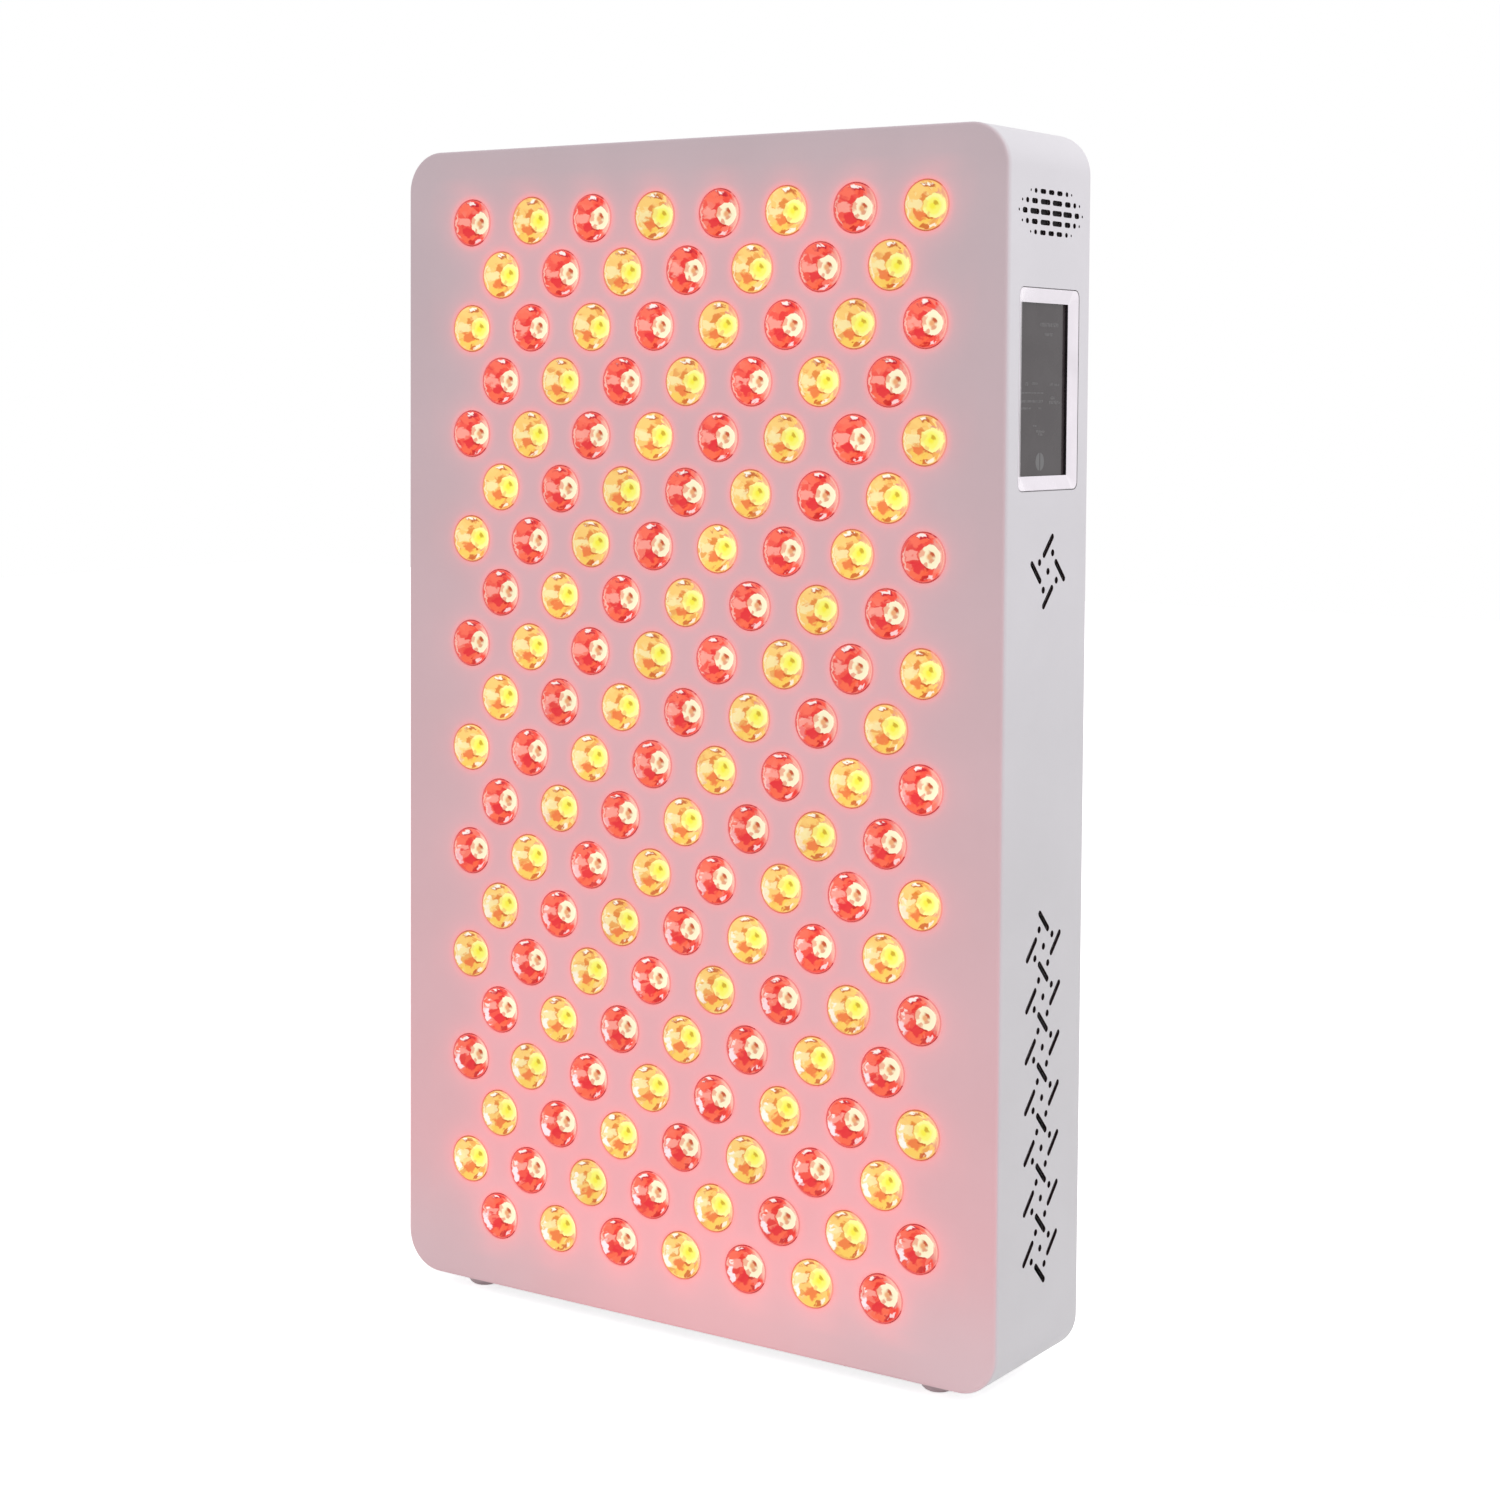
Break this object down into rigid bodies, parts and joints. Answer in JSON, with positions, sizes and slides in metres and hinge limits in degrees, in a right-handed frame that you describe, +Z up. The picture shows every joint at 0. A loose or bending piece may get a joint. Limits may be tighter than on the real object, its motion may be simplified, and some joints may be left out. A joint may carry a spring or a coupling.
{
  "type": "red light therapy panel",
  "caption": "Upright rounded-corner lamp panel with a staggered grid of lensed red and amber LEDs, a touch screen in its side, rear fans and a fused mains inlet.",
  "frame": {"origin": "on the floor under the middle of the housing", "axes": "+Z up, +X to the right of the lit front as seen from in front of it, -Y out of the lit front"},
  "size_m": [0.3, 0.0765, 0.5053],
  "materials": {
    "white_steel": "satin white powder coat",
    "zinc_steel": "bright zinc plate",
    "screw_steel": "bright plated",
    "lens": "clear polished acrylic",
    "led_board": "white solder mask",
    "aluminium": "plain mill finish",
    "driver_case": "satin",
    "circuit_board": "green solder mask",
    "black_plastic": "fine moulded texture",
    "white_plastic": "gloss",
    "dark_glass": "dark glass over a display",
    "pin_metal": "nickel plate",
    "rocker": "translucent red, lit from inside",
    "foot_rubber": "matt moulded"
  },
  "bodies": {
    "panel": {"front_shell": "white_steel", "rear_cover": "white_steel", "cover_rail_left": "zinc_steel", "cover_rail_right": "zinc_steel", "cover_rail_bottom": "zinc_steel", "cover_rail_top": "zinc_steel", "cover_screw_1": "screw_steel", "cover_screw_2": "screw_steel", "cover_screw_3": "screw_steel", "cover_screw_4": "screw_steel", "cover_screw_5": "screw_steel", "cover_screw_6": "screw_steel", "cover_screw_7": "screw_steel", "cover_screw_8": "screw_steel", "fan_screw_1": "screw_steel", "fan_screw_2": "screw_steel", "fan_screw_3": "screw_steel", "fan_screw_4": "screw_steel", "fan_screw_5": "screw_steel", "fan_screw_6": "screw_steel", "fan_screw_7": "screw_steel", "fan_screw_8": "screw_steel", "lens_sheet_1": "lens", "lens_sheet_2": "lens", "lens_sheet_3": "lens", "lens_sheet_4": "lens", "lens_sheet_5": "lens", "led_board_1": "led_board", "led_board_2": "led_board", "led_board_3": "led_board", "led_board_4": "led_board", "led_board_5": "led_board", "carrier_plate": "aluminium", "heat_sink_upper": "aluminium", "heat_sink_lower": "aluminium", "led_driver_1": "driver_case", "led_driver_2": "driver_case", "led_driver_3": "driver_case", "auxiliary_supply": "circuit_board", "mains_lead": "black_plastic", "fan_frame_upper": "black_plastic", "fan_frame_lower": "black_plastic", "screen_bezel": "white_plastic", "screen_glass": "dark_glass", "display_module": "driver_case", "control_board": "circuit_board", "screen_housing": "black_plastic", "speaker": "black_plastic", "power_inlet": "black_plastic", "inlet_pin_live": "pin_metal", "inlet_pin_earth": "pin_metal", "inlet_pin_neutral": "pin_metal", "foot_front_left": "foot_rubber", "foot_front_right": "foot_rubber", "foot_rear_left": "foot_rubber", "foot_rear_right": "foot_rubber"},
    "upper_rotor": {"fan_rotor_upper": "black_plastic"},
    "lower_rotor": {"fan_rotor_lower": "black_plastic"},
    "drawer": {"fuse_drawer": "black_plastic"},
    "rocker": {"power_rocker": "rocker"}
  },
  "joints": [
    {"name": "upper_fan_spin", "type": "hinge", "parent": "panel", "child": "upper_rotor", "pos_m": [0, 0.0204, 0.3503], "axis": [0, 1, 0], "continuous": true},
    {"name": "lower_fan_spin", "type": "hinge", "parent": "panel", "child": "lower_rotor", "pos_m": [0, 0.0204, 0.1803], "axis": [0, 1, 0], "continuous": true},
    {"name": "fuse_drawer_slide", "type": "slide", "parent": "panel", "child": "drawer", "axis": [0, 1, 0], "range_m": [0, 0.018]},
    {"name": "power_rocker_tip", "type": "hinge", "parent": "panel", "child": "rocker", "pos_m": [0.1, 0.0343, 0.0755], "axis": [0, 0, 1], "range_deg": [0, 20]}
  ]
}
